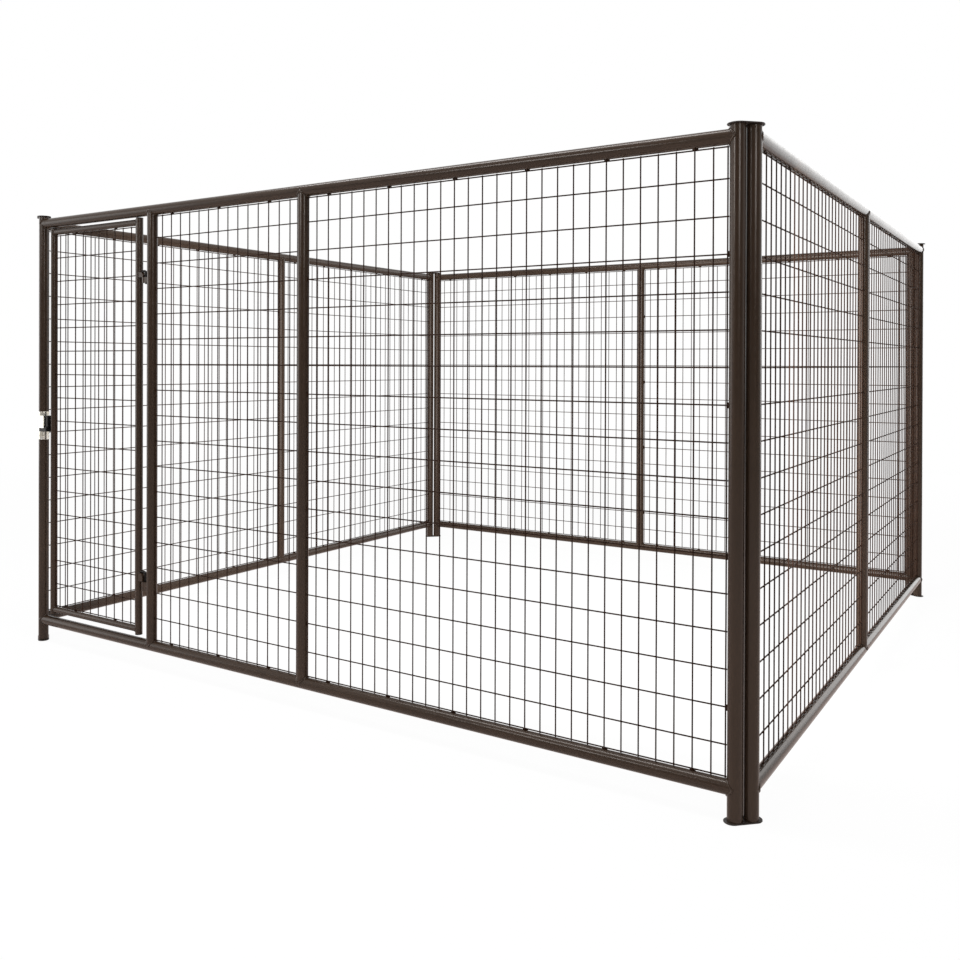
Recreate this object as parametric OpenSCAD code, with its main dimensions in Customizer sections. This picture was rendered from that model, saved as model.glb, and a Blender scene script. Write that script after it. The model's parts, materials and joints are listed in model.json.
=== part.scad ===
// Outdoor dog kennel run: four welded wire panels joined at the corners, a swing gate and a lift latch.
// Millimetres, +Z up. The origin is on the ground in the middle of the run, and the gate is in the -Y side.

/* [Panels] */
// Width of a panel over its end posts
panel_w = 3048; // [2400:1:3700]
// Length of an end post
post_len = 1829; // [1400:1:2400]
// Outside diameter of the frame tubes
tube_d = 41.3; // [36:0.1:46]
// Wall of the frame tubes
tube_wall = 1.6; // [1:0.1:3]
// Height of the bottom rail's axis above the ground
bottom_rail_z = 88; // [70:1:160]
// Depth of the top rail's axis below the tops of the end posts
top_rail_drop = 29; // [25:1:80]
// Distance of the front panel's mid post from its left end post, axis to axis
front_mid_x = 1494; // [1350:1:1700]

/* [Wire mesh] */
// Diameter of the mesh wire
wire_d = 4.1; // [2.5:0.1:5]
// Spacing of the upright wires
mesh_pitch_x = 51.3; // [40:0.1:80]
// Spacing of the level wires
mesh_pitch_z = 99.8; // [60:0.1:150]
// Gap between an edge wire and the tube beside it
mesh_gap = 2.5; // [1.5:0.1:6]
// Length of a weld tab along its wire
tab_len = 16; // [8:1:30]
// Depth of a weld tab through the sheet
tab_depth = 4; // [2:0.1:6]
// Number of upright wires from one weld tab to the next
wires_per_tab = 5; // [3:1:8]
// Number of level wires from one weld tab to the next
rows_per_tab = 4; // [3:1:8]

/* [Corner caps and feet] */
// Clear gap between the two posts of a corner
post_gap = 5; // [3:0.1:20]
// Turn of the front left and back right corner plates away from the run's diagonal
corner_turn = 11; // [-15:0.5:15]
// Reach of a cap's flange past its posts, all round
cap_rim = 7.5; // [5:0.1:15]
// Reach of a foot's flange past its posts, at its long sides
foot_rim = 2; // [1.5:0.1:10]
// Reach of a foot's flange past its posts, at its ends
foot_reach = 10; // [4:0.1:20]
// Thickness of a flange
flange_t = 4; // [3:0.5:10]
// Bevel on the edges of a flange
flange_bevel = 1; // [0.5:0.1:1.4]
// Length of a spigot inside its post
spigot_len = 30; // [15:1:60]
// Radial clearance of a spigot in its post
spigot_clearance = 0.1; // [0.05:0.01:0.3]

/* [Gate] */
// Distance of the hinge post from the left end post, axis to axis
gate_bay_w = 705; // [600:1:900]
// Outside diameter of the gate stiles
gate_d = 28.6; // [25:0.1:32]
// Outside diameter of the gate rails, held to that of the stiles at most
gate_rail_d = 25.4; // [20:0.1:28]
// Wall of the gate tubes
gate_wall = 1.5; // [1:0.1:3]
// Clear gap between the left end post and the latch stile
latch_gap = 38.5; // [37:0.1:50]
// Clear gap between the hinge stile and the hinge post
hinge_gap = 42; // [38:0.1:60]
// Clear gap between the top rail of the frame and the gate
gate_head_gap = 3.5; // [3:0.5:30]
// Clear gap between the bottom rail of the frame and the gate
gate_floor_gap = 12; // [6:0.5:40]
// Depth of the gate's top rail axis below the tops of the stiles
gate_top_inset = 14.5; // [14.4:0.1:60]
// Height of the gate's bottom rail axis above the feet of the stiles
gate_bottom_inset = 18; // [14.4:0.1:80]
// Thickness of a stile plug's head
plug_t = 3; // [2:0.1:5]
// Length of a stile plug inside its tube
plug_len = 15; // [8:1:30]

/* [Hinges] */
// Depth of the upper hinge lug's top face below the top rail's axis
upper_hinge_drop = 263; // [120:1:500]
// Height of the lower hinge lug's top face above the bottom rail's axis
lower_hinge_rise = 248; // [120:1:500]
// Distance of the hinge axis from the hinge post's axis
pin_to_post = 36.5; // [34:0.1:38]
// Diameter of a pintle
pintle_d = 10; // [8:0.1:12]
// Running clearance of a pintle in its lug, on the radius
pintle_clearance = 0.05; // [0.02:0.01:0.1]
// Outside diameter of a hinge lug's eye
lug_d = 32; // [16:0.1:36]
// Height of the upper hinge lug
upper_lug_h = 22; // [16:1:40]
// Height of the lower hinge lug
lower_lug_h = 34; // [16:1:40]
// Width of the web between a lug's eye and the post
lug_web = 30; // [8:0.5:32]
// Height of the upper pintle's arm above its lug, to the arm's axis
upper_arm_rise = 25; // [22:1:45]
// Height of the lower pintle's arm above its lug, to the arm's axis
lower_arm_rise = 37; // [22:1:45]
// Bend radius of a pintle, at its axis
bend_r = 10; // [8:0.5:14]
// Reach of a pintle below its lug
pintle_tail = 4; // [1:0.5:12]
// Thickness of a hinge gusset
gusset_t = 26; // [5:0.5:26]
// Clear gap between a gusset and the lug below it
gusset_gap = 0.5; // [0.3:0.1:3]

/* [Latch] */
// Depth of the latch shaft below the middle of the panel's height
latch_drop = 30; // [-150:1:150]
// Distance of the latch shaft from the latch stile's axis
shaft_to_stile = 25.5; // [25:0.1:30]
// Diameter of the latch shaft
shaft_d = 10; // [8:0.1:12]
// Running clearance of the shaft in the latch body, on the radius
shaft_clearance = 0.05; // [0.02:0.01:0.1]
// Width of a shaft head
shaft_head_d = 14; // [12:0.5:20]
// Thickness of a shaft head
shaft_head_t = 2; // [1.5:0.1:3]
// Width of the latch body, along the gate's plane
body_w = 20; // [16:0.5:22]
// Clear gap between the latch body and a latch bar
body_gap = 1.5; // [0.5:0.1:3]
// Height of the latch body above the shaft
body_rise = 58; // [30:1:80]
// Depth of the latch body below the shaft
body_drop = 10; // [9:0.5:20]
// Width of the neck between the latch body and the stile
neck_w = 16; // [8:0.5:20]
// Clearance of the sleeve on the post, on the radius
sleeve_clearance = 0.05; // [0.02:0.01:0.1]
// Wall of the sleeve on the end post
sleeve_wall = 1.5; // [1:0.1:2]
// Reach of the sleeve above the shaft
sleeve_rise = 75; // [60:1:120]
// Reach of the sleeve below the shaft
sleeve_drop = 46; // [20:1:60]
// Clear gap between the sleeve and a latch bar
bar_gap = 1.3; // [0.8:0.1:3]
// Thickness of a latch bar
bar_t = 2.5; // [2:0.1:4]
// Height of a latch bar
bar_h = 20; // [18:0.5:26]
// Reach of a latch bar past the end post's axis, negative where it ends before the axis
bar_reach = -4; // [-8:0.5:15]
// Width of the lift plate
plate_w = 35; // [20:1:35]
// Height of the lift plate above the latch bar
plate_rise = 48; // [20:1:70]
// Lap of the lift plate on the latch bar
plate_lap = 5; // [3:0.5:10]
// Thickness of the lift plate
plate_t = 1.9; // [1.5:0.1:3]

/* [Fit] */
// Gap left at a welded joint
weld_gap = 0.2; // [0.1:0.05:0.4]
// Gap between flat faces that seat on each other
seat_gap = 0.1; // [0.05:0.05:0.3]

/* [Hidden] */
// The four sides: name, turn about Z, name of the post at each end
SIDES = [["front", 0, "left", "right"], ["right", 90, "front", "back"],
         ["back", 180, "right", "left"], ["left", 270, "back", "front"]];
// The four corners: name, turn of the front or back panel about Z, end of that panel
CORNERS = [["front_right", 0, 1], ["back_right", 180, -1], ["back_left", 180, 1], ["front_left", 0, -1]];
$fn = 48;
// Overshoot of a cutting tool past the face that it cuts
over = 1;
frame_brown = "#3b322e";
wire_brown = "#3a2f2c";
black = "#161616";
zinc = "#c9cbcc";
tube_r = tube_d / 2;
bore_r = tube_r - tube_wall;
gate_r = gate_d / 2;
gate_bore_r = gate_r - gate_wall;
gate_rail_r = min(gate_rail_d, gate_d) / 2;
wire_r = wire_d / 2;
// End posts from the middle of their panel
half_w = (panel_w - tube_d) / 2;
// Steps between the two posts of a corner: front right and back left, then front left and back right
pair_pitch = tube_d + post_gap;
diagonal = 45;
straight_step = pair_pitch * [cos(diagonal), sin(diagonal)];
turned_step = pair_pitch * [cos(diagonal - corner_turn), sin(diagonal - corner_turn)];
// Panels from the middle of the run, as [slide along the panel, depth of its plane]
mean_step = (straight_step + turned_step) / 2;
front_at = [(turned_step[0] - straight_step[0]) / 2, half_w + mean_step[1]];
side_at = [(straight_step[1] - turned_step[1]) / 2, half_w + mean_step[0]];
post_top_z = flange_t + post_len;
top_rail_z = post_top_z - top_rail_drop;
frame_h = top_rail_z - bottom_rail_z - tube_d;
frame_mid_z = (top_rail_z + bottom_rail_z) / 2;
// Places along the front panel, from its middle
front_mid = front_mid_x - half_w;
hinge_post_x = gate_bay_w - half_w;
latch_stile_x = -half_w + tube_r + latch_gap + gate_r;
hinge_stile_x = hinge_post_x - tube_r - hinge_gap - gate_r;
hinge_x = hinge_post_x - pin_to_post;
gate_low_z = bottom_rail_z + tube_r + gate_floor_gap + plug_t;
gate_high_z = top_rail_z - tube_r - gate_head_gap - plug_t;
gate_top_rail_z = gate_high_z - gate_top_inset;
gate_bottom_rail_z = gate_low_z + gate_bottom_inset;
gate_w = hinge_stile_x - latch_stile_x - gate_d;
gate_h = gate_top_rail_z - gate_bottom_rail_z - 2 * gate_rail_r;
gate_mid_x = (hinge_stile_x + latch_stile_x) / 2;
gate_mid_z = (gate_top_rail_z + gate_bottom_rail_z) / 2;
// The two hinges: height of the lug's top face, height of the lug, rise of the pintle's arm above the lug
UPPER_HINGE = [top_rail_z - upper_hinge_drop, upper_lug_h, upper_arm_rise];
LOWER_HINGE = [bottom_rail_z + lower_hinge_rise, lower_lug_h, lower_arm_rise];
// Latch places, from the shaft
latch_z = frame_mid_z - latch_drop;
shaft_x = latch_stile_x - shaft_to_stile;
sleeve_r = tube_r + sleeve_clearance + sleeve_wall;
bar_y = sleeve_r + bar_gap;
bar_len = shaft_x + half_w + bar_reach;
body_depth = 2 * (bar_y - body_gap);
pintle_r = pintle_d / 2;

// Puts what is drawn for the front panel on another side of the run
module on_side(turn) {
    at = turn % 180 == 0 ? front_at : side_at;
    rotate([0, 0, turn]) translate([at[0], -at[1], 0]) children();
}

// Upright tube from one height to another
module upright_tube(r, bore, low, high) {
    translate([0, 0, low]) difference() {
        cylinder(r = r, h = high - low);
        translate([0, 0, -over]) cylinder(r = bore, h = high - low + 2 * over);
    }
}

// Level solid cylinder along X between two places
module level_rod(r, x0, x1) {
    translate([x0, 0, 0]) rotate([0, 90, 0]) cylinder(r = r, h = x1 - x0);
}

// Level tube between two uprights, its ends shaped to fit round them
module level_tube(r, bore, x0, x1, upright_r) {
    difference() {
        level_rod(r, x0, x1);
        level_rod(bore, x0 - over, x1 + over);
        for (x = [x0, x1])
            translate([x, 0, -upright_r * 2]) cylinder(r = upright_r + weld_gap, h = upright_r * 4);
    }
}

// End post of a panel
module end_post(end) {
    color(frame_brown) translate([end * half_w, 0, 0]) upright_tube(tube_r, bore_r, flange_t, post_top_z);
}

// Post between the rails, its ends shaped to fit round them
module inner_post(x) {
    color(frame_brown) translate([x, 0, 0]) difference() {
        upright_tube(tube_r, bore_r, bottom_rail_z, top_rail_z);
        for (z = [bottom_rail_z, top_rail_z])
            translate([0, 0, z]) level_rod(tube_r + weld_gap, -tube_d, tube_d);
    }
}

// Rail between the end posts of a panel
module panel_rail(z) {
    color(frame_brown) translate([0, 0, z]) level_tube(tube_r, bore_r, -half_w, half_w, tube_r);
}

// Offset of an edge wire's axis from the middle of a sheet, for the clear size of its frame
function edge_at(clear) = clear / 2 - mesh_gap - wire_r;
// Number of wires between the two edge wires of a sheet
function inner_count(clear, pitch) = floor(2 * edge_at(clear) / pitch);
// Place of an inner wire from the middle of a sheet
function wire_at(i, clear, pitch) = (i - (inner_count(clear, pitch) - 1) / 2) * pitch;
// Places of all the wires of a sheet, the edge wires included
function wire_places(clear, pitch) =
    concat([-edge_at(clear)], [for (i = [0 : inner_count(clear, pitch) - 1]) wire_at(i, clear, pitch)],
           [edge_at(clear)]);
// Places of the weld tabs along an edge: every few inner wires, from the middle of the row outwards
function tab_places(clear, pitch, step) =
    let (n = inner_count(clear, pitch), first = floor(((n - 1) % step) / 2))
    [for (i = [first : step : n - 1]) wire_at(i, clear, pitch)];

// Wire of a sheet, across a clear size of its frame
module mesh_wire(clear) {
    cylinder(r = wire_r, h = 2 * edge_at(clear) + wire_d, center = true, $fn = 16);
}

// Wire sheet in a frame of a clear width and height: upright wires outside, level wires inside
module mesh_sheet(w, h) {
    layer = wire_r + seat_gap / 2;
    color(wire_brown) {
        for (x = wire_places(w, mesh_pitch_x))
            translate([x, -layer, 0]) mesh_wire(h);
        for (z = wire_places(h, mesh_pitch_z))
            translate([0, layer, z]) rotate([0, 90, 0]) mesh_wire(w);
    }
}

// Weld tabs between the edge wires of a sheet and its frame
module sheet_tabs(w, h) {
    layer = wire_r + seat_gap / 2;
    depth = mesh_gap - 2 * seat_gap;
    color(frame_brown) {
        for (x = tab_places(w, mesh_pitch_x, wires_per_tab), up = [-1, 1])
            translate([x, layer, up * (h - mesh_gap) / 2])
                cube([tab_len, tab_depth, depth], center = true);
        for (z = tab_places(h, mesh_pitch_z, rows_per_tab), side = [-1, 1])
            translate([side * (w - mesh_gap) / 2, -layer, z])
                cube([depth, tab_depth, tab_len], center = true);
    }
}

// Clear span between two uprights of a panel as [middle, width]
function bay(x0, x1) = [(x0 + x1) / 2, x1 - x0 - tube_d];
// The two bays of a side: left and right of its mid post, with the gate bay left out
function side_mid(side) = side[0] == "front" ? front_mid : 0;
function left_bay(side) = bay(side[0] == "front" ? hinge_post_x : -half_w, side_mid(side));
function right_bay(side) = bay(side_mid(side), half_w);

module panel_mesh(b) {
    translate([b[0], 0, frame_mid_z]) mesh_sheet(b[1], frame_h);
}

module mesh_tabs() {
    for (side = SIDES, b = [left_bay(side), right_bay(side)])
        on_side(side[1]) translate([b[0], 0, frame_mid_z]) sheet_tabs(b[1], frame_h);
}

// Bevelled plate with round ends that covers the two posts of a corner, drawn along X
module flange(rim, reach) {
    r = tube_r + rim;
    in = r - flange_bevel;
    side = flange_t - flange_bevel;
    half = [[0, 0], [in, 0], [r, flange_bevel], [r, side], [in, flange_t], [0, flange_t]];
    end_x = pair_pitch / 2 + reach - rim;
    for (end = [-1, 1])
        translate([end * end_x, 0, 0]) rotate_extrude() polygon(half);
    translate([-end_x, 0, 0]) rotate([90, 0, 90]) linear_extrude(2 * end_x)
        for (flip = [0, 1]) mirror([flip, 0]) polygon(half);
}

// Flange with two spigots on its upper face
module double_plug(rim, reach) {
    flange(rim, reach);
    for (end = [-1, 1])
        translate([end * pair_pitch / 2, 0, flange_t / 2])
            cylinder(r = bore_r - spigot_clearance, h = flange_t / 2 + spigot_len);
}

// Puts a double plate on a corner, along the step between the corner's posts
module on_corner(turn, end) {
    step = end > 0 ? straight_step : turned_step;
    on_side(turn) translate([end * (half_w + step[0] / 2), step[1] / 2, 0])
        rotate([0, 0, end * atan2(step[1], step[0])]) children();
}

module corner_foot() {
    color(frame_brown) double_plug(foot_rim, foot_reach);
}

module corner_cap() {
    color(frame_brown) translate([0, 0, post_top_z + flange_t]) rotate([180, 0, 0])
        double_plug(cap_rim, cap_rim);
}

// Lug on the hinge post with an eye for a pintle
module hinge_lug(hinge) {
    lug_h = hinge[1];
    color(frame_brown) on_side(0) translate([0, 0, hinge[0] - lug_h]) difference() {
        union() {
            translate([hinge_x, 0, 0]) cylinder(d = lug_d, h = lug_h);
            translate([hinge_x, -lug_web / 2, 0]) cube([pin_to_post, lug_web, lug_h]);
        }
        translate([hinge_x, 0, -over]) cylinder(r = pintle_r + pintle_clearance, h = lug_h + 2 * over);
        translate([hinge_post_x, 0, -over]) cylinder(r = tube_r + weld_gap, h = lug_h + 2 * over);
    }
}

// Bent pintle on the hinge stile: an arm from the stile that turns down through its lug
module pintle(hinge) {
    arm_z = hinge[0] + hinge[2];
    bend_z = arm_z - bend_r;
    foot_z = hinge[0] - hinge[1] - pintle_tail;
    color(black) on_side(0) {
        translate([hinge_x, 0, foot_z]) cylinder(r = pintle_r, h = bend_z - foot_z);
        translate([hinge_x - bend_r, 0, bend_z]) rotate([90, 0, 0])
            rotate_extrude(angle = 90) translate([bend_r, 0]) circle(r = pintle_r);
        translate([0, 0, arm_z])
            level_rod(pintle_r, hinge_stile_x + gate_r + weld_gap, hinge_x - bend_r);
    }
}

// Gusset block under a pintle's arm, shaped to fit round the stile
module hinge_gusset(hinge) {
    run = hinge_x - pintle_r - weld_gap - hinge_stile_x;
    rise = hinge[2] - pintle_r - weld_gap;
    outline = [[0, gusset_gap], [run, gusset_gap], [run, rise - bend_r], [run - bend_r, rise], [0, rise]];
    color(frame_brown) on_side(0) translate([hinge_stile_x, 0, hinge[0]]) difference() {
        translate([0, gusset_t / 2, 0]) rotate([90, 0, 0]) linear_extrude(gusset_t) polygon(outline);
        translate([0, 0, -over]) cylinder(r = gate_r + weld_gap, h = rise + 2 * over);
    }
}

module hinge_gussets() {
    hinge_gusset(UPPER_HINGE);
    hinge_gusset(LOWER_HINGE);
}

module gate_stile(x) {
    color(frame_brown) on_side(0) translate([x, 0, 0])
        upright_tube(gate_r, gate_bore_r, gate_low_z, gate_high_z);
}

module gate_rail(z) {
    color(frame_brown) on_side(0) translate([0, 0, z])
        level_tube(gate_rail_r, gate_rail_r - gate_wall, latch_stile_x, hinge_stile_x, gate_r);
}

module gate_mesh() {
    on_side(0) translate([gate_mid_x, 0, gate_mid_z]) mesh_sheet(gate_w, gate_h);
}

module gate_mesh_tabs() {
    on_side(0) translate([gate_mid_x, 0, gate_mid_z]) sheet_tabs(gate_w, gate_h);
}

// Plug with a flat head, drawn pointing up
module stile_plug() {
    cylinder(r = gate_r, h = plug_t);
    cylinder(r = gate_bore_r - spigot_clearance, h = plug_t + plug_len);
}

module gate_stile_plugs() {
    for (x = [latch_stile_x, hinge_stile_x])
        color(black) on_side(0) {
            translate([x, 0, gate_low_z - plug_t]) stile_plug();
            translate([x, 0, gate_high_z + plug_t]) rotate([180, 0, 0]) stile_plug();
        }
}

// Puts a latch piece at the shaft
module at_latch() {
    on_side(0) translate([shaft_x, 0, latch_z]) children();
}

// Level cylinder through the gate between two depths
module through_rod(r, y0, y1) {
    translate([0, y1, 0]) rotate([90, 0, 0]) cylinder(r = r, h = y1 - y0);
}

// Block between the stile and the end post, with a neck shaped to fit round the stile
module latch_body() {
    tall = body_rise + body_drop;
    color(black) at_latch() difference() {
        union() {
            translate([-body_w / 2, -body_depth / 2, -body_drop]) cube([body_w, body_depth, tall]);
            translate([0, -neck_w / 2, -body_drop]) cube([shaft_to_stile, neck_w, tall]);
        }
        translate([shaft_to_stile, 0, -body_drop - over])
            cylinder(r = gate_r + weld_gap, h = tall + 2 * over);
        through_rod(shaft_d / 2 + shaft_clearance, -body_depth, body_depth);
    }
}

// Shaft through the body and both bars, with a flat head at each end
module latch_shaft() {
    end = bar_y + bar_t + seat_gap;
    color(black) at_latch() {
        through_rod(shaft_d / 2, -end, end);
        for (side = [-1, 1])
            mirror([0, side < 0 ? 1 : 0, 0]) through_rod(shaft_head_d / 2, end, end + shaft_head_t);
    }
}

// Bar that lies beside the end post, round at the shaft
module latch_bar(side) {
    y0 = side > 0 ? bar_y : -bar_y - bar_t;
    color(black) at_latch() difference() {
        union() {
            through_rod(bar_h / 2, y0, y0 + bar_t);
            translate([-bar_len, y0, -bar_h / 2]) cube([bar_len, bar_t, bar_h]);
        }
        through_rod(shaft_d / 2 + shaft_clearance, y0 - over, y0 + bar_t + over);
    }
}

// Plate on the front of the front bar, for lifting it
module latch_lift_plate() {
    y0 = -bar_y - bar_t - seat_gap - plate_t;
    color(zinc) at_latch()
        translate([-bar_len, y0, bar_h / 2 - plate_lap]) cube([plate_w, plate_t, plate_lap + plate_rise]);
}

module latch_sleeve() {
    color(zinc) on_side(0) translate([-half_w, 0, 0])
        upright_tube(sleeve_r, tube_r + sleeve_clearance, latch_z - sleeve_drop, latch_z + sleeve_rise);
}

for (side = SIDES) {
    part = str(side[0], "_panel_");
    turn = side[1];
    on_side(turn) end_post(-1);
    on_side(turn) end_post(1);
    on_side(turn) inner_post(side_mid(side));
    on_side(turn) panel_rail(top_rail_z);
    on_side(turn) panel_rail(bottom_rail_z);
    on_side(turn) panel_mesh(left_bay(side));
    on_side(turn) panel_mesh(right_bay(side));
}
for (corner = CORNERS) {
    on_corner(corner[1], corner[2]) corner_cap();
    on_corner(corner[1], corner[2]) corner_foot();
}
mesh_tabs();
on_side(0) inner_post(hinge_post_x);  // hinge_post
hinge_lug(UPPER_HINGE);  // upper_hinge_lug
hinge_lug(LOWER_HINGE);  // lower_hinge_lug
latch_sleeve();
gate_stile(hinge_stile_x);  // gate_hinge_stile
gate_stile(latch_stile_x);  // gate_latch_stile
gate_rail(gate_top_rail_z);  // gate_top_rail
gate_rail(gate_bottom_rail_z);  // gate_bottom_rail
gate_mesh();
gate_mesh_tabs();
gate_stile_plugs();
pintle(UPPER_HINGE);  // upper_pintle
pintle(LOWER_HINGE);  // lower_pintle
hinge_gussets();
latch_body();
latch_shaft();
latch_bar(-1);  // latch_front_bar
latch_bar(1);  // latch_rear_bar
latch_lift_plate();
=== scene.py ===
"""Looks of the outdoor dog kennel run: paint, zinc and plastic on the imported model, welds, studio and camera.

Metres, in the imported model's frame: +Z up, the gate in the -Y side, the origin on the ground.
"""

import json
import math

import bmesh
import bpy
from mathutils import Matrix, Vector


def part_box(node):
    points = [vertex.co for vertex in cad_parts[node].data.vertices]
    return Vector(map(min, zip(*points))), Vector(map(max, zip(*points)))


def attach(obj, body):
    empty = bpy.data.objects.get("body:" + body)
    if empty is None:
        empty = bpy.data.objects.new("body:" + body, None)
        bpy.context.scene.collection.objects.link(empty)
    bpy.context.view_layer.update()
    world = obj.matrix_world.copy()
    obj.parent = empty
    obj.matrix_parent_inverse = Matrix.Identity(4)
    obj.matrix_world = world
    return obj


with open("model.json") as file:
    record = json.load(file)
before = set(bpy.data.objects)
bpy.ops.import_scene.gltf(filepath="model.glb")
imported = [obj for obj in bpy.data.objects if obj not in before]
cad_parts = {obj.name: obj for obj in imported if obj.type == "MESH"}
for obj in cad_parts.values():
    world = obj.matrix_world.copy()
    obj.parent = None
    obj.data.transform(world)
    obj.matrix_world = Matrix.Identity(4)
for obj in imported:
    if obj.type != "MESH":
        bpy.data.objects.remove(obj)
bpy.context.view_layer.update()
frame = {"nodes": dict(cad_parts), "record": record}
nodes = frame["nodes"]

X, Y, Z = range(3)
UP = Vector((0, 0, 1))
WHITE = (1, 1, 1, 1)

# Camera, fitted to the photograph: place, turn and tilt, and the lens in pixels of the image
CAMERA_AT = (2.273, -4.083, 1.203)
CAMERA_YAW = math.radians(33.62)
CAMERA_PITCH = math.radians(0.26)
CAMERA_ROLL = math.radians(0.19)
IMAGE_PX = 960
FOCAL_PX = 970.3
CENTRE_PX = (442.4, 368.2)
SENSOR_MM = 36
CLIP_END = 200

# Panels, each with the names of its two ends
ENDS = {
    "front": ("left", "right"),
    "right": ("front", "back"),
    "back": ("right", "left"),
    "left": ("back", "front"),
}

# Weld beads: radius on the frame, on the gate and at the hinges, and the ripple along a bead
BEAD_R = 0.0034
GATE_BEAD_R = 0.8 * BEAD_R
HINGE_BEAD_R = 0.0024
BEAD_RIPPLE = 0.10
BEAD_RIPPLE_PITCH = 0.0050
# Sides of a bead's section, and steps along beads round a tube, round a pintle, and along a block's edges
BEAD_SIDES = 8
TUBE_STEPS = 72
PINTLE_STEPS = 32
HALF_ARC_STEPS = 12
RISE_STEPS = 8
# Weld nuggets where wires cross, and the distance within which points of a wire count as one
NUGGET_R = 0.0026
SAME_POINT = 1e-6
# Rolled hems of the latch sleeve, and the height of its band above its lower end
HEM_R = 0.0009
HEM_BAND = 0.014
HEM_STEPS = 64

# Colours, each as a darker and a lighter shade
BROWN = ((0.027, 0.0162, 0.0103), (0.036, 0.0218, 0.0141))
WIRE_BROWN = ((0.018, 0.0078, 0.0042), (0.027, 0.0117, 0.0064))
PLATE_BROWN = ((0.017, 0.0112, 0.0084), (0.024, 0.0162, 0.0124))
BLACK = ((0.004, 0.0040, 0.0042), (0.008, 0.0080, 0.0082))
BLACK_PLUG = ((0.006, 0.0056, 0.0054), (0.010, 0.0095, 0.0090))
ZINC = ((0.62, 0.58, 0.47), (0.80, 0.80, 0.76))
# Shine of paint and plastic, and the tint of the paint's reflections seen head-on
SHINE = 0.28
SHEEN_TINT = (1.0, 0.93, 0.88, 1.0)

# Studio: where its dark side is, and the strength of the room as a light and in reflections of its dark side
# and of its ceiling
DARK_TOWARD = (0.55, -0.83, 0.0)
DARK_EDGE = (0.10, 0.75)
ROOM_LIGHT = 0.48
ROOM_GLOSS = 0.06
CEILING_GLOSS = 0.45
CEILING_EDGE = (0.40, 0.75)
# Floor: its size, its drop below the feet and its paper
FLOOR_SIZE = 60
FLOOR_DROP = 0.0005
PAPER = (0.9, 0.9, 0.9, 1)
# White share of the floor beside the run, its colour in reflections, and the distances over which it fades
# into the room
FLOOR_WHITE = 0.96
FLOOR_MIRRORED = (0.98, 0.83, 0.78, 1.0)
FLOOR_FADE = (3.5, 9.0)
# Softboxes: place, target, width and height in metres, brightness where white paper is 1
SOFTBOXES = {
    "top_box": ((0.0, -2.0, 4.6), (0.0, -1.95, 0.0), 5.0, 0.8, 12.0),
    "back_box": ((2.6, 7.2, 2.6), (1.6, 0.0, 1.3), 4.2, 5.2, 1.6),
    "left_box": ((-7.5, -3.5, 1.8), (-0.5, -1.4, 1.0), 7.0, 3.4, 1.8),
    "left_flash": ((-1.3, -5.9, 2.75), (0.9, -1.5, 1.2), 1.4, 0.9, 10.5),
    "right_flash": ((4.9, -5.1, 2.75), (1.3, -1.4, 1.2), 1.4, 0.9, 10.5),
    "inner_fill": ((0.1, -1.2, 1.0), (0.0, 1.5, 0.9), 3.0, 1.7, 3.4),
    "far_fill": ((0.9, -0.7, 1.0), (1.5, 1.55, 0.9), 0.8, 1.7, 5.0),
}


def noise(tree, coords, scale, detail, roughness=0.5):
    """Noise texture node on the given coordinates."""
    node = tree.nodes.new("ShaderNodeTexNoise")
    node.inputs["Scale"].default_value = scale
    node.inputs["Detail"].default_value = detail
    node.inputs["Roughness"].default_value = roughness
    tree.links.new(coords, node.inputs["Vector"])
    return node.outputs["Fac"]


def ramp(tree, factor, low, high, span):
    """Colour ramp node from one grey or colour to another as a factor crosses a span."""
    node = tree.nodes.new("ShaderNodeValToRGB")
    for element, place, value in zip(node.color_ramp.elements, span, (low, high)):
        element.position = place
        colour = value if isinstance(value, tuple) else (value, value, value)
        element.color = (*colour, 1.0)
    tree.links.new(factor, node.inputs["Fac"])
    return node.outputs["Color"]


def bump(tree, shader, height, strength, depth):
    """Bump node into the shader's normal."""
    node = tree.nodes.new("ShaderNodeBump")
    node.inputs["Strength"].default_value = strength
    node.inputs["Distance"].default_value = depth
    tree.links.new(height, node.inputs["Height"])
    tree.links.new(node.outputs["Normal"], shader.inputs["Normal"])


def start_material(name):
    """New node material: the material, its tree, its shader and object coordinates."""
    material = bpy.data.materials.new(name)
    material.use_nodes = True
    tree = material.node_tree
    shader = tree.nodes["Principled BSDF"]
    coords = tree.nodes.new("ShaderNodeTexCoord").outputs["Object"]
    return material, tree, shader, coords


def powder_coat(name, dark, light, rough, peel, shine=SHINE):
    """Baked paint: slow colour drift, fine fleck, orange-peel bump and uneven gloss."""
    material, tree, shader, coords = start_material(name)
    drift = noise(tree, coords, scale=2.3, detail=4.0, roughness=0.6)
    colour = ramp(tree, drift, dark, light, span=(0.30, 0.72))
    grit = noise(tree, coords, scale=900.0, detail=1.0)
    fleck = ramp(tree, grit, low=0.92, high=1.06, span=(0.42, 0.62))
    mix = tree.nodes.new("ShaderNodeMix")
    mix.data_type = "RGBA"
    mix.blend_type = "MULTIPLY"
    mix.inputs["Factor"].default_value = 1.0
    tree.links.new(colour, mix.inputs["A"])
    tree.links.new(fleck, mix.inputs["B"])
    tree.links.new(mix.outputs["Result"], shader.inputs["Base Color"])
    patches = noise(tree, coords, scale=55.0, detail=3.0)
    tree.links.new(ramp(tree, patches, *rough, span=(0.35, 0.68)), shader.inputs["Roughness"])
    shader.inputs["Specular IOR Level"].default_value = shine
    shader.inputs["Specular Tint"].default_value = SHEEN_TINT
    orange_peel = noise(tree, coords, scale=420.0, detail=1.5)
    bump(tree, shader, orange_peel, strength=peel, depth=0.0004)
    return material


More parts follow.
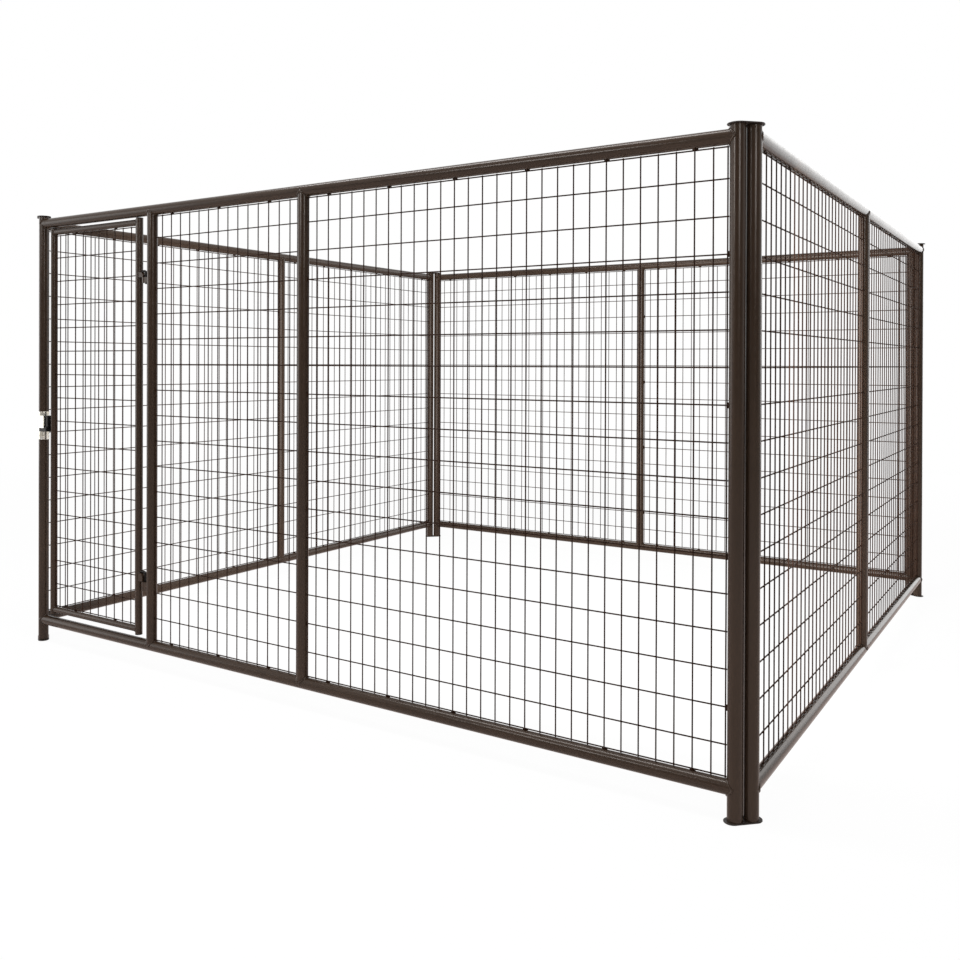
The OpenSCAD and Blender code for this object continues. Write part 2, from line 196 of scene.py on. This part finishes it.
def moulded_plastic(name, dark, light, rough):
    """Moulded plastic: fine spark-eroded grain and soft, uneven gloss."""
    material, tree, shader, coords = start_material(name)
    clouds = noise(tree, coords, scale=18.0, detail=4.0)
    tree.links.new(ramp(tree, clouds, dark, light, span=(0.32, 0.70)), shader.inputs["Base Color"])
    patches = noise(tree, coords, scale=40.0, detail=3.0)
    tree.links.new(ramp(tree, patches, *rough, span=(0.35, 0.70)), shader.inputs["Roughness"])
    shader.inputs["Specular IOR Level"].default_value = SHINE
    grain = noise(tree, coords, scale=1400.0, detail=2.0)
    bump(tree, shader, grain, strength=0.20, depth=0.0003)
    return material


def zinc_plate(name, dull, bright, rough):
    """Bright zinc plate: drawn streaks, a faint spangle and a few dull patches."""
    material, tree, shader, coords = start_material(name)
    shader.inputs["Metallic"].default_value = 1.0
    stretch = tree.nodes.new("ShaderNodeMapping")
    stretch.inputs["Scale"].default_value = (240.0, 240.0, 12.0)
    tree.links.new(coords, stretch.inputs["Vector"])
    streaks = noise(tree, stretch.outputs["Vector"], scale=1.0, detail=3.0)
    spangle = noise(tree, coords, scale=60.0, detail=3.0)
    tree.links.new(ramp(tree, spangle, dull, bright, span=(0.30, 0.66)), shader.inputs["Base Color"])
    tree.links.new(ramp(tree, streaks, *rough, span=(0.30, 0.72)), shader.inputs["Roughness"])
    bump(tree, shader, streaks, strength=0.12, depth=0.0002)
    return material


MATERIALS = {
    "frame_paint": powder_coat("frame_paint", *BROWN, rough=(0.19, 0.26), peel=0.010),
    "gate_paint": powder_coat("gate_paint", *BROWN, rough=(0.20, 0.28), peel=0.010),
    "wire_paint": powder_coat("wire_paint", *WIRE_BROWN, rough=(0.42, 0.56), peel=0.04, shine=0.08),
    "corner_plate": moulded_plastic("corner_plate", *PLATE_BROWN, rough=(0.34, 0.48)),
    "black_steel": powder_coat("black_steel", *BLACK, rough=(0.36, 0.50), peel=0.06),
    "black_plastic": moulded_plastic("black_plastic", *BLACK_PLUG, rough=(0.40, 0.55)),
    "zinc_plate": zinc_plate("zinc_plate", *ZINC, rough=(0.20, 0.38)),
}


def dress_nodes():
    """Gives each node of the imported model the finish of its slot."""
    for row in frame["record"]["subparts"]:
        data = nodes[row["node"]].data
        data.materials.clear()
        data.materials.append(MATERIALS[row["material_slot"]])


def finish_piece(data, name, body, slot):
    """Links a mesh as a smooth piece that rides on a body and takes a slot's finish."""
    for face in data.polygons:
        face.use_smooth = True
    data.materials.append(MATERIALS[slot])
    piece = bpy.data.objects.new(name, data)
    bpy.context.scene.collection.objects.link(piece)
    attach(piece, body)


def finish_bmesh(mesh, name, body, slot):
    """Links a bmesh as a piece."""
    data = bpy.data.meshes.new(name)
    mesh.to_mesh(data)
    mesh.free()
    finish_piece(data, name, body, slot)


def middle(node):
    """Middle of a node's box."""
    low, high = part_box(node)
    return (low + high) / 2


def half_width(node, axis):
    """Half of a node's width along an axis, which across a tube is its radius."""
    low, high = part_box(node)
    return (high[axis] - low[axis]) / 2


def circle_turns(steps):
    """Angles of evenly spaced steps round a circle."""
    return [2 * math.pi * i / steps for i in range(steps)]


def add_bead(mesh, path, radius=BEAD_R, ripple=BEAD_RIPPLE):
    """Closed weld bead along a path of points, its radius rippling along the run."""
    count = len(path)
    turns = circle_turns(BEAD_SIDES)
    along = 0.0
    rings = []
    for i, point in enumerate(path):
        tangent = (path[(i + 1) % count] - path[i - 1]).normalized()
        side = tangent.orthogonal().normalized()
        other = tangent.cross(side)
        along += (point - path[i - 1]).length
        r = radius * (1 + ripple * math.sin(2 * math.pi * along / BEAD_RIPPLE_PITCH))
        rings.append([mesh.verts.new(point + r * (math.cos(a) * side + math.sin(a) * other)) for a in turns])
    for i in range(count):
        here, after = rings[i], rings[(i + 1) % count]
        start = min(range(BEAD_SIDES), key=lambda k: (after[k].co - here[0].co).length)
        for k in range(BEAD_SIDES):
            quad = (here[k], here[(k + 1) % BEAD_SIDES],
                    after[(start + k + 1) % BEAD_SIDES], after[(start + k) % BEAD_SIDES])
            mesh.faces.new(quad)


def saddle(centre, toward, upright, radius, onto, steps=TUBE_STEPS):
    """Line where a tube of one radius, coming along -toward, meets a tube of another radius."""
    across = upright.cross(toward)
    points = []
    for turn in circle_turns(steps):
        sideways = radius * math.cos(turn)
        rise = radius * math.sin(turn)
        reach = math.sqrt(max(onto * onto - sideways * sideways, 0.0))
        points.append(centre + reach * toward + sideways * across + rise * upright)
    return points


def at_height(node, height):
    """Point on an upright tube's axis."""
    spot = middle(node)
    spot.z = height
    return spot


def panel_welds(side):
    """Beads where a panel's rails meet its end posts and where its inner posts meet its rails."""
    mesh = bmesh.new()
    first, last = (f"{side}_panel_{end}_post" for end in ENDS[side])
    inner_posts = [f"{side}_panel_mid_post"] + (["hinge_post"] if side == "front" else [])
    radius = half_width(first, X)
    run = (middle(last) - middle(first)).normalized()
    for rail, inward in (("top_rail", -UP), ("bottom_rail", UP)):
        height = middle(f"{side}_panel_{rail}").z
        for post, toward in ((first, run), (last, -run)):
            add_bead(mesh, saddle(at_height(post, height), toward, UP, radius, radius))
        for post in inner_posts:
            add_bead(mesh, saddle(at_height(post, height), inward, run, radius, radius))
    finish_bmesh(mesh, f"{side}_panel_weld_beads", "frame", "frame_paint")


def gate_welds():
    """Beads where the gate's rails meet its stiles."""
    mesh = bmesh.new()
    latch, hinge = "gate_latch_stile", "gate_hinge_stile"
    stile_r = half_width(latch, X)
    run = (middle(hinge) - middle(latch)).normalized()
    for rail in ("gate_top_rail", "gate_bottom_rail"):
        rail_r = half_width(rail, Z)
        for stile, toward in ((latch, run), (hinge, -run)):
            spot = at_height(stile, middle(rail).z)
            add_bead(mesh, saddle(spot, toward, UP, rail_r, stile_r), GATE_BEAD_R)
    finish_bmesh(mesh, "gate_weld_beads", "gate", "gate_paint")


def block_weld(mesh, axis, toward, radius, half, low, high):
    """Bead round the end of a block, of the given half width, that meets an upright tube."""
    across = UP.cross(toward)
    edge = math.asin(half / radius)
    arc = [edge * (i / HALF_ARC_STEPS - 1) for i in range(2 * HALF_ARC_STEPS + 1)]
    rises = [low + (high - low) * i / RISE_STEPS for i in range(1, RISE_STEPS)]
    loop = [(turn, low) for turn in arc] + [(edge, z) for z in rises]
    loop += [(turn, high) for turn in reversed(arc)] + [(-edge, z) for z in reversed(rises)]
    points = []
    for turn, z in loop:
        spot = axis + radius * (math.cos(turn) * toward + math.sin(turn) * across)
        spot.z = z
        points.append(spot)
    add_bead(mesh, points, HINGE_BEAD_R)


def hinge_welds():
    """Beads where the hinge lugs meet their post, and where the gussets and pintle arms meet the stile."""
    left, right = Vector((-1, 0, 0)), Vector((1, 0, 0))
    post, stile = middle("hinge_post"), middle("gate_hinge_stile")
    post_r, stile_r = half_width("hinge_post", X), half_width("gate_hinge_stile", X)
    half = half_width("hinge_gussets", Y)
    lugs, gussets = bmesh.new(), bmesh.new()
    for level in ("upper", "lower"):
        lug_low, lug_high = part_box(f"{level}_hinge_lug")
        pin_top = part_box(f"{level}_pintle")[1].z
        pin_r = half_width(f"{level}_pintle", Y)
        block_weld(lugs, post, left, post_r, half, lug_low.z, lug_high.z - HINGE_BEAD_R)
        block_weld(gussets, stile, right, stile_r, half, lug_high.z + HINGE_BEAD_R, pin_top - 2 * pin_r)
        arm = at_height("gate_hinge_stile", pin_top - pin_r)
        add_bead(gussets, saddle(arm, right, UP, pin_r, stile_r, PINTLE_STEPS), HINGE_BEAD_R)
    finish_bmesh(lugs, "hinge_lug_weld_beads", "frame", "frame_paint")
    finish_bmesh(gussets, "hinge_gusset_weld_beads", "gate", "gate_paint")


def sleeve_hems():
    """Rolled hems at the ends of the latch sleeve and a band below the latch bar."""
    mesh = bmesh.new()
    low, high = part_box("latch_sleeve")
    axis = middle("latch_sleeve")
    radius = half_width("latch_sleeve", X)
    turns = circle_turns(HEM_STEPS)
    for z in (low.z + HEM_R, low.z + HEM_BAND, high.z - HEM_R):
        ring = [Vector((axis.x + radius * math.cos(a), axis.y + radius * math.sin(a), z)) for a in turns]
        add_bead(mesh, ring, HEM_R, ripple=0.0)
    finish_bmesh(mesh, "latch_sleeve_hems", "frame", "zinc_plate")


def wire_middles(node):
    """Middles of a sheet's upright wires and of its level wires."""
    mesh = bmesh.new()
    mesh.from_mesh(nodes[node].data)
    bmesh.ops.remove_doubles(mesh, verts=mesh.verts, dist=SAME_POINT)
    upright, level, seen = [], [], set()
    for vert in mesh.verts:
        if vert in seen:
            continue
        island, queue = [], [vert]
        seen.add(vert)
        while queue:
            here = queue.pop()
            island.append(here.co)
            for edge in here.link_edges:
                other = edge.other_vert(here)
                if other not in seen:
                    seen.add(other)
                    queue.append(other)
        low = Vector([min(co[k] for co in island) for k in (X, Y, Z)])
        high = Vector([max(co[k] for co in island) for k in (X, Y, Z)])
        size = high - low
        (upright if size.z > max(size.x, size.y) else level).append((low + high) / 2)
    mesh.free()
    return upright, level


def nugget_shape():
    """Points and faces of one weld nugget about its middle."""
    mesh = bmesh.new()
    bmesh.ops.create_icosphere(mesh, subdivisions=1, radius=NUGGET_R)
    points = [vert.co.copy() for vert in mesh.verts]
    faces = [[vert.index for vert in face.verts] for face in mesh.faces]
    mesh.free()
    return points, faces


def sheet_nuggets(node, body):
    """Weld nuggets where the wires of a sheet cross."""
    shape, shape_faces = nugget_shape()
    along_x = half_width(node, X) > half_width(node, Y)
    upright, level = wire_middles(node)
    points, faces = [], []
    for wire in upright:
        for row in level:
            across = (wire + row) / 2
            spot = Vector((wire.x, across.y, row.z)) if along_x else Vector((across.x, wire.y, row.z))
            faces += [[len(points) + corner for corner in face] for face in shape_faces]
            points += [spot + point for point in shape]
    name = f"{node}_weld_nuggets"
    data = bpy.data.meshes.new(name)
    data.from_pydata(points, [], faces)
    finish_piece(data, name, body, "wire_paint")


def blend_value(tree, factor, at_low, at_high, span):
    """Value that goes from one number to another as a factor crosses a span."""
    node = tree.nodes.new("ShaderNodeMapRange")
    node.inputs["From Min"].default_value, node.inputs["From Max"].default_value = span
    node.inputs["To Min"].default_value = at_low
    node.inputs["To Max"].default_value = at_high
    tree.links.new(factor, node.inputs["Value"])
    return node.outputs["Result"]


def math_node(tree, operation, first, second):
    """Math node on two sockets."""
    node = tree.nodes.new("ShaderNodeMath")
    node.operation = operation
    tree.links.new(first, node.inputs[0])
    tree.links.new(second, node.inputs[1])
    return node.outputs["Value"]


def make_floor():
    """Pale floor that reads as white paper, keeps a soft shadow and fades into the room in reflections."""
    bpy.ops.mesh.primitive_plane_add(size=FLOOR_SIZE, location=(0, 0, -FLOOR_DROP))
    floor = bpy.context.object
    floor.name = "studio_floor"
    material = bpy.data.materials.new("studio_floor")
    material.use_nodes = True
    tree = material.node_tree
    tree.nodes.clear()
    output = tree.nodes.new("ShaderNodeOutputMaterial")
    paper = tree.nodes.new("ShaderNodeBsdfDiffuse")
    paper.inputs["Color"].default_value = PAPER
    glow = tree.nodes.new("ShaderNodeEmission")
    glow.inputs["Strength"].default_value = 1.0
    distance = tree.nodes.new("ShaderNodeVectorMath")
    distance.operation = "LENGTH"
    tree.links.new(tree.nodes.new("ShaderNodeTexCoord").outputs["Object"], distance.inputs[0])
    path = tree.nodes.new("ShaderNodeLightPath")
    tint = tree.nodes.new("ShaderNodeMix")
    tint.data_type = "RGBA"
    tint.inputs["A"].default_value = WHITE
    tint.inputs["B"].default_value = FLOOR_MIRRORED
    tree.links.new(path.outputs["Is Glossy Ray"], tint.inputs["Factor"])
    tree.links.new(tint.outputs["Result"], glow.inputs["Color"])
    seen = math_node(tree, "MAXIMUM", path.outputs["Is Camera Ray"], path.outputs["Is Transmission Ray"])
    white = blend_value(tree, distance.outputs["Value"], FLOOR_WHITE, 1.0, FLOOR_FADE)
    mirrored = blend_value(tree, distance.outputs["Value"], FLOOR_WHITE, 0.0, FLOOR_FADE)
    share = math_node(tree, "ADD", math_node(tree, "MULTIPLY", seen, white),
                      math_node(tree, "MULTIPLY", path.outputs["Is Glossy Ray"], mirrored))
    mix = tree.nodes.new("ShaderNodeMixShader")
    tree.links.new(share, mix.inputs["Fac"])
    tree.links.new(paper.outputs["BSDF"], mix.inputs[1])
    tree.links.new(glow.outputs["Emission"], mix.inputs[2])
    tree.links.new(mix.outputs["Shader"], output.inputs["Surface"])
    floor.data.materials.append(material)


def make_world():
    """White studio with a dark side behind the camera, which only reflections show."""
    world = bpy.data.worlds.new("studio")
    bpy.context.scene.world = world
    world.use_nodes = True
    tree = world.node_tree
    background = tree.nodes["Background"]
    background.inputs["Color"].default_value = WHITE
    path = tree.nodes.new("ShaderNodeLightPath")
    away = tree.nodes.new("ShaderNodeVectorMath")
    away.operation = "DOT_PRODUCT"
    away.inputs[1].default_value = DARK_TOWARD
    toward = tree.nodes.new("ShaderNodeTexCoord").outputs["Generated"]
    tree.links.new(toward, away.inputs[0])
    wall = blend_value(tree, away.outputs["Value"], 1.0, ROOM_GLOSS, DARK_EDGE)
    height = tree.nodes.new("ShaderNodeSeparateXYZ")
    tree.links.new(toward, height.inputs["Vector"])
    ceiling = blend_value(tree, height.outputs["Z"], 0.0, CEILING_GLOSS, CEILING_EDGE)
    mirrored = math_node(tree, "MAXIMUM", wall, ceiling)
    lit = tree.nodes.new("ShaderNodeMix")
    lit.inputs["A"].default_value = ROOM_LIGHT
    tree.links.new(path.outputs["Is Glossy Ray"], lit.inputs["Factor"])
    tree.links.new(mirrored, lit.inputs["B"])
    seen = tree.nodes.new("ShaderNodeMix")
    seen.inputs["B"].default_value = 1.0
    tree.links.new(path.outputs["Is Camera Ray"], seen.inputs["Factor"])
    tree.links.new(lit.outputs["Result"], seen.inputs["A"])
    tree.links.new(seen.outputs["Result"], background.inputs["Strength"])


def add_softbox(name, at, target, width, height, brightness):
    """Soft rectangular lamp that looks at a target; its power follows from its brightness."""
    data = bpy.data.lights.new(name, "AREA")
    data.shape = "RECTANGLE"
    data.size = width
    data.size_y = height
    data.energy = brightness * math.pi * width * height
    lamp = bpy.data.objects.new(name, data)
    lamp.location = at
    lamp.rotation_euler = (Vector(target) - Vector(at)).to_track_quat("-Z", "Y").to_euler()
    lamp.visible_camera = False
    bpy.context.scene.collection.objects.link(lamp)


def make_camera():
    """Camera at the photograph's place, with the photograph's lens and framing."""
    data = bpy.data.cameras.new("photo_camera")
    data.sensor_width = SENSOR_MM
    data.lens = FOCAL_PX / IMAGE_PX * SENSOR_MM
    data.shift_x = (IMAGE_PX / 2 - CENTRE_PX[0]) / IMAGE_PX
    data.shift_y = (CENTRE_PX[1] - IMAGE_PX / 2) / IMAGE_PX
    data.clip_end = CLIP_END
    forward = Vector((-math.sin(CAMERA_YAW) * math.cos(CAMERA_PITCH),
                      math.cos(CAMERA_YAW) * math.cos(CAMERA_PITCH), -math.sin(CAMERA_PITCH)))
    level_right = Vector((math.cos(CAMERA_YAW), math.sin(CAMERA_YAW), 0))
    level_up = level_right.cross(forward)
    right = math.cos(CAMERA_ROLL) * level_right + math.sin(CAMERA_ROLL) * level_up
    up = math.cos(CAMERA_ROLL) * level_up - math.sin(CAMERA_ROLL) * level_right
    turn = Matrix((right, up, -forward)).transposed().to_4x4()
    camera = bpy.data.objects.new("photo_camera", data)
    camera.matrix_world = Matrix.Translation(CAMERA_AT) @ turn
    bpy.context.scene.collection.objects.link(camera)
    bpy.context.scene.camera = camera


dress_nodes()
for side, ends in ENDS.items():
    panel_welds(side)
    for end in ends:
        sheet_nuggets(f"{side}_panel_{end}_mesh", "frame")
gate_welds()
hinge_welds()
sleeve_hems()
sheet_nuggets("gate_mesh", "gate")

make_floor()
make_world()
for name, setting in SOFTBOXES.items():
    add_softbox(name, *setting)
make_camera()
bpy.context.scene.view_settings.view_transform = "Standard"
